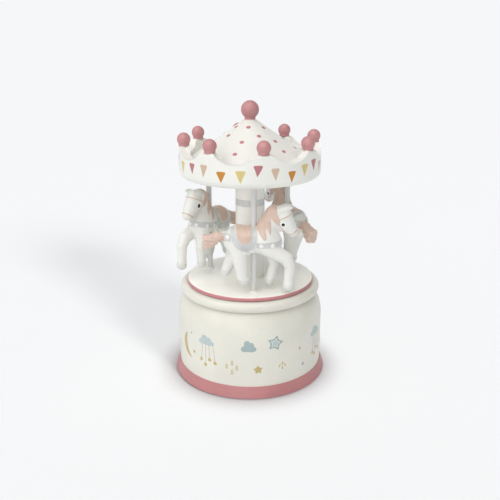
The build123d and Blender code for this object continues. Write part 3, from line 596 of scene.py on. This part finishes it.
def sculpt_horse():
    step = 0.4
    low, high = np.array([-34.2, -10.2, 0.4]), np.array([29.6, 10.2, 60.0])
    axes = [np.arange(a, b, step) for a, b in zip(low, high)]
    grid = np.stack(np.meshgrid(*axes, indexing="ij"), -1).reshape(-1, 3).astype(np.float32)
    field = horse_field(grid).reshape([len(a) for a in axes])
    verts, quads = nets(field.astype(float), low, step)
    for _ in range(3):
        verts = verts - horse_field(verts)[:, None] * slope(verts, horse_field)
    verts = verts + horse_paint(verts)[0][:, None] * slope(verts, horse_field)
    mesh = bpy.data.meshes.new("horse")
    mesh.vertices.add(len(verts))
    mesh.vertices.foreach_set("co", ((verts - [0, 0, PIVOT]) * MM).ravel())
    mesh.loops.add(quads.size)
    mesh.loops.foreach_set("vertex_index", quads.ravel())
    mesh.polygons.add(len(quads))
    mesh.polygons.foreach_set("loop_start", np.arange(0, quads.size, 4))
    mesh.update(calc_edges=True)
    mesh.validate()
    mesh.shade_smooth()
    for name, values in horse_paint(verts)[1].items():
        layer = mesh.attributes.new(name, "FLOAT", "POINT")
        layer.data.foreach_set("value", values.astype(np.float32))
    mesh.materials.append(horse_enamel())
    return mesh


def horse_enamel():
    m, shade, rough = paint("horse_enamel", HORSE_WHITE, roughness=0.34, grain=False, mottle=0.03)
    jitter = m.between(m.noise(1400, 2), 0, 1, -0.10, 0.10)

    def region(name, offset=0.0):
        value = m.node("ShaderNodeAttribute", attribute_name=name).outputs["Fac"]
        return m.between(m.math("ADD", value, jitter), offset - 0.08, offset + 0.08, 1, 0)

    tint = m.between(m.noise(210, 4, 0.6), 0.3, 0.7)
    shade = m.mix(m.math("MULTIPLY", region("hoof"), 0.55), shade, (0.64, 0.65, 0.635))
    shade = m.mix(region("silver"), shade, m.mix(tint, scaled(HORSE_SILVER, 0.92), scaled(HORSE_SILVER, 1.06)))
    shade = m.mix(region("peach"), shade, m.mix(tint, scaled(PEACH, 0.90), scaled(PEACH, 1.06)))
    shade = m.mix(region("white"), shade, scaled(HORSE_WHITE, 1.05))
    shade = m.mix(region("eye", 1.75), shade, (0.93, 0.93, 0.92))
    shade = m.mix(region("eye", 1.12), shade, (0.006, 0.006, 0.006))
    return m.done(shade, m.math("SUBTRACT", rough, m.math("MULTIPLY", region("eye", 1.12), 0.2)))


def tall_eyed(mesh):
    """The same casting with its eyes painted taller and further forward."""
    other = mesh.copy()
    spots = np.empty(3 * len(mesh.vertices))
    mesh.vertices.foreach_get("co", spots)
    u, v, w = spots.reshape(-1, 3).T / MM
    ahead = (u - EYE[0] - TALL_EYE_SHIFT[0]) / TALL_EYE_SIZE[0]
    up = (w + PIVOT - EYE[1] - TALL_EYE_SHIFT[1]) / TALL_EYE_SIZE[1]
    eye = np.where(np.abs(v) > 2, np.hypot(ahead, up), 9)
    other.attributes["eye"].data.foreach_set("value", eye.astype(np.float32))
    return other


def horses():
    mesh = sculpt_horse()
    for i, ((x, y), (outward, lift, nose_up)) in enumerate(zip(POLES, STANCES), 1):
        horse = bpy.data.objects.new(f"painted_horse_{i}", tall_eyed(mesh) if i == 3 else mesh)
        bpy.context.scene.collection.objects.link(horse)
        heading = math.radians(POLE_START + 120 * (i - 1) - outward)
        turn = Matrix.Rotation(heading, 4, "Z") @ Matrix.Rotation(math.radians(-nose_up), 4, "Y")
        horse.matrix_world = Matrix.Translation(Vector((x, y, FLOOR_Z + PIVOT + lift)) * MM) @ turn
        ride(horse, "horse_resin", f"horse_{i}")


def ride(obj, slot, *stands_for, body="carousel"):
    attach(obj, body)
    if stands_for:
        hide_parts(*stands_for)


# ---- printed decals: thin closed patches laid on the wall, the rim and the cone ------------------------------
GOLD = (0.54, 0.43, 0.19)
BLUE = (0.36, 0.455, 0.46)
PALE_BLUE = (0.47, 0.56, 0.57)
GREY = (0.40, 0.41, 0.40)
FLAG_YELLOW = (0.68, 0.56, 0.225)
FLAG_ROSE = (0.49, 0.185, 0.205)
FLAG_PEACH = (0.63, 0.475, 0.36)
FLAG_MUSTARD = (0.555, 0.235, 0.028)
DOT_ROSE = (0.56, 0.22, 0.24)
PROUD = 0.05


def print_ink(name, colour):
    m, shade, rough = paint(name, colour, roughness=0.46, coat=0.1, grain=False, mottle=0.08, peel=0.00002)
    worn = m.noise(1900, 4, 0.75)
    return m.done(m.mix(m.between(worn, 0.60, 0.78, 0, 0.45), shade, scaled(colour, 1.35)), rough)


def wall(theta, z, radius):
    """Puts a flat (along, up) outline on an upright cylinder, theta degrees from the front."""

    def place(points, proud):
        angle = math.radians(theta) + points[:, 0] / radius
        r = radius + proud
        return np.stack([r * np.sin(angle), -r * np.cos(angle), z + points[:, 1]], 1)

    return place


def on_cone(radius, theta):
    """Puts a flat outline on the roof's cone: along, and up the slope."""
    fall = math.atan(CONE_SLOPE)

    def place(points, proud):
        r = radius - points[:, 1] * math.cos(fall)
        angle = math.radians(theta) + points[:, 0] / np.maximum(r, 1)
        z = CONE_APEX_Z - CONE_SLOPE * r
        r, z = r + proud * math.sin(fall), z + proud * math.cos(fall)
        return np.stack([r * np.sin(angle), -r * np.cos(angle), z], 1)

    return place


def patch(outline, place, holes=()):
    """Vertices and faces of a closed sheet, proud of the surface in front and sunk into it behind."""
    rings = [np.array(outline)] + [np.array(h) for h in holes]
    low, high = rings[0].min(0), rings[0].max(0)
    xs, ys = np.arange(low[0], high[0], 0.9), np.arange(low[1], high[1], 0.9)
    inner = np.stack(np.meshgrid(xs, ys), -1).reshape(-1, 2) + 0.11
    depth = to_polygon(inner[:, 0], inner[:, 1], rings[0])
    for hole in rings[1:]:
        depth = np.maximum(depth, -to_polygon(inner[:, 0], inner[:, 1], hole))
    inner = inner[depth < -0.35]
    points, edges = np.vstack([*rings, inner]), []
    start = 0
    for ring in rings:
        n = len(ring)
        edges += [(start + i, start + (i + 1) % n) for i in range(n)]
        start += n
    flat, _, faces, *_ = delaunay_2d_cdt([Vector(p) for p in points], edges, [], 0, 1e-7)
    flat = np.array([tuple(p) for p in flat])
    keep = []
    for face in faces:
        mid = flat[list(face)].mean(0)[None]
        gap = to_polygon(mid[:, 0], mid[:, 1], rings[0])
        for hole in rings[1:]:
            gap = np.maximum(gap, -to_polygon(mid[:, 0], mid[:, 1], hole))
        if gap[0] < 0:
            keep.append(list(face))
    count = len(flat)
    rim = sum(len(r) for r in rings)
    lift = np.where(np.arange(count) < rim, 0.55 * PROUD, PROUD)
    front, back = place(flat, lift), place(flat, np.full(count, -0.35))
    sides = {}
    for face in keep:
        for a, b in zip(face, face[1:] + face[:1]):
            if sides.pop((b, a), None) is None:
                sides[(a, b)] = True
    faces = keep + [[count + i for i in reversed(f)] for f in keep]
    faces += [[b, a, count + a, count + b] for a, b in sides]
    return np.vstack([front, back]), faces


def print_group(name, material, slot, body, patches):
    """One object of several patches of one ink."""
    verts, faces = [], []
    for points, polygons in patches:
        base = sum(len(v) for v in verts)
        verts.append(points)
        faces += [[base + i for i in f] for f in polygons]
    mesh = bpy.data.meshes.new(name)
    mesh.from_pydata((np.vstack(verts) * MM).tolist(), [], faces)
    mesh.validate()
    bm = bmesh.new()
    bm.from_mesh(mesh)
    bmesh.ops.recalc_face_normals(bm, faces=bm.faces)
    bm.to_mesh(mesh)
    bm.free()
    mesh.materials.append(material)
    made = bpy.data.objects.new(name, mesh)
    bpy.context.scene.collection.objects.link(made)
    ride(made, slot, body=body)


def circle(radius, n=18, x=0.0, y=0.0, squash=1.0):
    angles = np.linspace(0, 2 * math.pi, n, endpoint=False)
    return [(x + radius * math.cos(a), y + squash * radius * math.sin(a)) for a in angles]


def star(radius, tilt=0.0, waist=0.45, soft=1):
    points = []
    for i in range(10):
        reach = radius if i % 2 == 0 else waist * radius
        angle = math.pi * i / 5 + math.radians(tilt)
        points.append((reach * math.sin(angle), reach * math.cos(angle)))
    return rounded(points, soft)


def drop(width, height, x=0.0, y=0.0, lean=0.0):
    """A raindrop, pointed at the top."""
    out = []
    for a in np.linspace(0, 2 * math.pi, 22, endpoint=False):
        across, up = 0.5 * width * math.sin(a) * math.sin(a / 2) ** 1.2, 0.5 * height * math.cos(a)
        out.append((x + across + lean * up, y + up))
    return out


# A cloud's puffs: place and radius, as shares of its size.
PUFFS = [
    (-0.33, -0.16, 0.19),
    (-0.10, 0.12, 0.25),
    (0.16, 0.03, 0.22),
    (0.37, -0.17, 0.15),
    (0.0, -0.14, 0.22),
    (-0.2, -0.2, 0.16),
    (0.2, -0.2, 0.17),
]


def cloud(width, height):
    """The outline of overlapping puffs, seen from the cloud's middle."""
    out = []
    for a in np.linspace(0, 2 * math.pi, 56, endpoint=False):
        direction = np.array([math.cos(a), math.sin(a)])
        reach = 0.1 * width
        for x, y, r in PUFFS:
            c = np.array([x * width, y * height * 1.25 + 0.06 * height])
            r *= width * 0.82
            along = c @ direction
            off = c @ c - along * along
            if off < r * r:
                reach = max(reach, along + math.sqrt(r * r - off))
        out.append((reach * direction[0], reach * direction[1] * height / (0.62 * width)))
    return out


def crescent(height, thick):
    """A moon between two arcs, its middle at the origin and its belly to the left."""
    tip = height / 2
    outer = height * 0.507
    mid = outer - math.sqrt(outer * outer - tip * tip)
    inner_sag = mid - thick
    inner = (tip * tip + inner_sag * inner_sag) / (2 * inner_sag)
    turn, back = math.asin(tip / outer), math.asin(tip / inner)
    out = [(outer - outer * math.cos(a), outer * math.sin(a)) for a in np.linspace(-turn, turn, 26)]
    centre_x = mid - inner_sag + inner
    out += [(centre_x - inner * math.cos(a), inner * math.sin(a)) for a in np.linspace(back, -back, 26)[1:-1]]
    return [(x - mid, y) for x, y in out]


def tilted(points, degrees):
    c, s = math.cos(math.radians(degrees)), math.sin(math.radians(degrees))
    return [(c * x - s * y, s * x + c * y) for x, y in points]


def stroke(points, width):
    """A thin line along points, as a closed outline."""
    points = np.array(points, float)
    along = np.gradient(points, axis=0)
    along /= np.linalg.norm(along, axis=1, keepdims=True)
    side = np.stack([-along[:, 1], along[:, 0]], 1) * width / 2
    return np.vstack([points + side, (points - side)[::-1]])


def smaller(points, by):
    """An outline drawn in by a distance."""
    points = np.array(points, float)
    ahead, behind = np.roll(points, -1, 0), np.roll(points, 1, 0)
    along = ahead - behind
    along /= np.linalg.norm(along, axis=1, keepdims=True)
    normal = np.stack([-along[:, 1], along[:, 0]], 1)
    area = 0.5 * np.sum(points[:, 0] * ahead[:, 1] - ahead[:, 0] * points[:, 1])
    return points + normal * by * (1 if area > 0 else -1)


def base_prints():
    gold, blue, pale, grey = [], [], [], []
    at = lambda theta, z: wall(theta, z, WALL_R)
    arc = WALL_R * math.pi / 180

    def mobile(theta, z, stars):
        pale.append(patch(cloud(12.8, 7.4), at(theta, z)))
        for star_theta, star_z in stars:
            x, drop_y = (star_theta - theta) * arc, star_z - z
            top = 0.75 * x
            along = np.linspace(0, 1, 12)
            line = [(top + (x - top) * t + 0.25 * math.sin(math.pi * t), -2.0 + (drop_y + 2.0) * t) for t in along]
            grey.append(patch(stroke(line, 0.34), at(theta, z)))
            gold.append(patch(star(1.75, 8 * x, 0.55), at(star_theta, star_z)))

    def rain(theta, z, drops):
        for x, y in drops:
            shape = drop(2.3, 4.4, x, y)
            gold.append(patch(shape, at(theta, z), [smaller(shape, 0.5)[::-1]]))

    def outlined_star(theta, z, radius, tilt):
        outer = star(radius, tilt, 0.47)
        blue.append(patch(outer, at(theta, z), [star(radius - 2.3, tilt, 0.47)[::-1]]))
        pale.append(patch(star(radius - 3.3, tilt, 0.47), at(theta, z)))

    def sprig(theta, z):
        for x, y, lean in ((0, 1.6, 0), (-1.9, 0.1, 0.4), (1.9, 0.1, -0.4), (0, -1.7, 0)):
            gold.append(patch(drop(1.35, 2.7, x, y, lean), at(theta, z)))

    def diamond(theta, z):
        gold.append(patch(rounded([(0, 1.7), (1.1, 0.2), (0, -1.5), (-1.1, -0.1)], 1), at(theta, z)))

    four = ((-4.2, 0.9), (-0.4, 3.6), (2.7, 0.4), (-0.4, -2.9))
    # The front, then a second run of the same motifs round the back.
    for turn in (0, 166):
        gold.append(patch(tilted(crescent(18.0, 4.6), 17), at(turn - 54.0, 28.6)))
        gold.append(patch(star(1.7, 12, 0.5), at(turn - 48, 25.5)))
        blue.append(patch(circle(0.75, 12), at(turn - 51, 38.4)))
        mobile(turn - 35, 37, ((turn - 40, 22.7), (turn - 36, 19.6), (turn - 32, 23.9), (turn - 27.2, 22.4)))
        rain(turn - 13, 21.6, four)
        blue.append(patch(cloud(10.2, 7.8), at(turn - 1, 36.8)))
        gold.append(patch(star(3.5, -6, 0.5), at(turn + 6, 20.5)))
        outlined_star(turn + 19, 38.4, 6.2, 12)
        sprig(turn + 25, 21.8)
        diamond(turn + 41, 30)
        blue.append(patch(circle(1.15, 14), at(turn + 45, 17.5)))
        mobile(turn + 61.5, 36.5, ((turn + 58, 21.4), (turn + 61.5, 19.2), (turn + 65, 23.2), (turn + 69, 21)))
        rain(turn + 84, 22.4, four)
    diamond(278, 33)
    sprig(283, 22)
    print_group("base_print_gold", print_ink("gold_ink", GOLD), "cream_paint", "base", gold)
    print_group("base_print_blue", print_ink("blue_ink", BLUE), "cream_paint", "base", blue)
    print_group("base_print_pale_blue", print_ink("pale_blue_ink", PALE_BLUE), "cream_paint", "base", pale)
    print_group("base_print_strings", print_ink("grey_ink", GREY), "cream_paint", "base", grey)


def roof_prints():
    # Each pennant's angle from the front, and the height of its middle.
    flags = {-65: 147.5, -50: 148.5, -37: 148.3, -22: 145.8, -7: 146.3, 6: 150.0}
    flags |= {19: 147.5, 33: 145.3, 46: 148.0, 58: 150.0, 71: 147.3}
    theta = 71 + 13.6
    while theta < 288:
        flags[theta] = 147.6 + 2.2 * math.cos(math.radians(8 * (theta - 10.9)))
        theta += 13.9
    inks = [("yellow", FLAG_YELLOW), ("rose", FLAG_ROSE), ("peach", FLAG_PEACH), ("mustard", FLAG_MUSTARD)]
    groups = [[] for _ in inks]
    for i, (theta, z) in enumerate(flags.items()):
        wide, tall, lean = 3.25 + 0.25 * math.sin(5 * i), 3.55 + 0.3 * math.cos(3 * i), 0.5 * math.sin(2.3 * i)
        top = [(-wide, tall), (0, tall + 0.1), (wide, tall)]
        tip = [(wide * 0.5, 0), (lean, -tall), (lean - 0.25, -tall), (-wide * 0.5, 0)]
        groups[i % 4].append(patch(rounded(top + tip, 1), wall(theta, z, RIM_R)))
    for (name, colour), patches in zip(inks, groups):
        slot = "rose_paint" if name == "rose" else "cream_paint"
        print_group(f"roof_flags_{name}", print_ink(f"flag_{name}", colour), slot, "carousel", patches)
    # The dots' distances from the axis, and their angles: those in front, then the rest of the way round.
    dots = [(9.5, -6), (10.5, 56), (17, -54), (16.5, 20), (21, -14), (21.5, 48), (30, -18), (29.5, 46)]
    dots += [(10, a) for a in (116, 176, 236, 296)]
    dots += [(17 if i % 2 else 21.3, 84 + 36 * i) for i in range(6)]
    dots += [(29.7, 80 + 32 * i) for i in range(8)]
    spots = [patch(circle(1.5, 18, squash=0.9), on_cone(r, theta)) for r, theta in dots]
    print_group("roof_dots", print_ink("dot_rose", DOT_ROSE), "rose_paint", "carousel", spots)


# ---- floor, light and camera --------------------------------------------------------------------------------
PAPER = (0.78, 0.79, 0.80)
PALE = (0.922, 0.930, 0.947)
PAPER_GLOW = 0.388
PAPER_REACH = (0.30, 1.0)  # the paper turns into a plain glow between these distances, in metres
# How far round things on the paper the painted contact shadow reaches, in metres.
PAINTED_SHADOW_REACH = 0.020
WARM_WHITE = (1, 0.995, 0.985)
CAMERA_PLACE, CAMERA_PITCH, CAMERA_LENS = (0, -0.41891, 0.22439), 18.29, 46.03


def backdrop():
    """A seamless sweep: a floor that curves up into a wall far behind the object."""
    profile = [(-6.0, 0.0), (-1.0, 0.0), (1.0, 0.0), (9.0, 0.0)]
    profile += [(9.0 + 0.6 * math.sin(a), 0.6 - 0.6 * math.cos(a)) for a in np.linspace(0, math.pi / 2, 16)[1:]]
    profile += [(9.6, 6.0)]
    verts, faces = [], []
    for y, z in profile:
        verts += [(-9, y, z), (9, y, z)]
    for i in range(len(profile) - 1):
        a = 2 * i
        faces.append((a, a + 1, a + 3, a + 2))
    mesh = bpy.data.meshes.new("backdrop")
    mesh.from_pydata(verts, [], faces)
    for face in mesh.polygons:
        face.use_smooth = True
    sweep = bpy.data.objects.new("backdrop", mesh)
    bpy.context.scene.collection.objects.link(sweep)
    # Lit paper near the object, and an evenly glowing screen further off.
    m = Shader("backdrop", PAPER, 0.9, specular=0.0)
    m.set("Emission Color", (*PALE, 1))
    away = m.node("ShaderNodeVectorMath", {0: m.place()}, operation="LENGTH").outputs["Value"]
    far = m.between(m.math("ADD", away, m.between(m.noise(3, 2), 0, 1, -0.05, 0.05)), *PAPER_REACH)
    # Painted contact shadow: ambient occlusion darkens the glow close to whatever stands on the paper.
    contact_shadow_ao = m.node("ShaderNodeAmbientOcclusion", {"Distance": PAINTED_SHADOW_REACH}, samples=16).outputs["AO"]
    glow = m.math("MULTIPLY", m.between(contact_shadow_ao, 0.58, 1.0, 0.07, 1.0), m.between(far, 0, 1, PAPER_GLOW, 1.0))
    m.link(glow, m.bsdf.inputs["Emission Strength"])
    mesh.materials.append(m.done(m.mix(far, PAPER, (0.0, 0.0, 0.0))))
    return sweep


def sun(name, towards, strength, angle, colour=(1, 1, 1)):
    light = bpy.data.lights.new(name, "SUN")
    light.energy = strength
    light.angle = math.radians(angle)
    light.color = colour
    lamp = bpy.data.objects.new(name, light)
    bpy.context.scene.collection.objects.link(lamp)
    lamp.rotation_euler = Vector(towards).to_track_quat("Z", "Y").to_euler()
    return lamp


def studio(sweep):
    scene = bpy.context.scene
    scene.view_settings.view_transform = "Standard"
    world = bpy.data.worlds.new("studio")
    world.use_nodes = True
    light = world.node_tree.nodes["Background"]
    light.inputs[0].default_value = (1.0, 0.98, 0.945, 1)
    light.inputs[1].default_value = 0.30
    # Where the sweep ends, seen from the other sides, the studio is as pale as the sweep.
    pale = world.node_tree.nodes.new("ShaderNodeBackground")
    pale.inputs[0].default_value = (*PALE, 1)
    seen = world.node_tree.nodes.new("ShaderNodeLightPath")
    either = world.node_tree.nodes.new("ShaderNodeMixShader")
    join = world.node_tree.links.new
    join(seen.outputs["Is Camera Ray"], either.inputs[0])
    join(light.outputs[0], either.inputs[1])
    join(pale.outputs[0], either.inputs[2])
    join(either.outputs[0], world.node_tree.nodes["World Output"].inputs["Surface"])
    scene.world = world
    key = sun("key", (-0.42, -0.43, 0.80), 1.78, 75, WARM_WHITE)
    top = sun("top", (0.15, -0.45, 1.0), 0.60, 60, WARM_WHITE)
    sun("fill", (-0.30, -1.0, 0.12), 0.40, 30, (1, 0.99, 0.97))
    # A low light from the right that only the floor sees, for the long soft shadow behind and to the left.
    cast = sun("cast", (0.19, -0.26, 0.15), 1.45, 14, (1, 0.99, 0.97))
    floor_only = bpy.data.collections.new("floor_only")
    floor_only.objects.link(sweep)
    cast.light_linking.receiver_collection = floor_only
    dome = sun("dome", (0, 0, 1), 0.64, 165, (0.93, 0.965, 1.0))
    dome.light_linking.receiver_collection = floor_only
    # Light thrown back up and in under the canopy from the pale surroundings.
    inner = sun("inner", (-0.35, -0.9, 0.42), 0.55, 60, WARM_WHITE)
    sheltered = bpy.data.collections.new("sheltered")
    for name in ("turntable", "centre_column", "pole_2", "pole_3"):
        sheltered.objects.link(nodes[name])
    inner.light_linking.receiver_collection = sheltered
    # The lights from above leave the floor alone, so that they cast nothing to the right.
    not_floor = bpy.data.collections.new("not_floor")
    not_floor.objects.link(sweep)
    not_floor.collection_objects[0].light_linking.link_state = "EXCLUDE"
    key.light_linking.receiver_collection = not_floor
    top.light_linking.receiver_collection = not_floor
    camera = bpy.data.objects.new("camera", bpy.data.cameras.new("camera"))
    scene.collection.objects.link(camera)
    camera.location = CAMERA_PLACE
    camera.rotation_euler = (math.radians(90 - CAMERA_PITCH), 0, 0)
    camera.data.sensor_width = 36
    camera.data.lens = CAMERA_LENS
    camera.data.clip_start = 0.01
    scene.camera = camera


dress_the_cad()
horses()
base_prints()
roof_prints()
studio(backdrop())
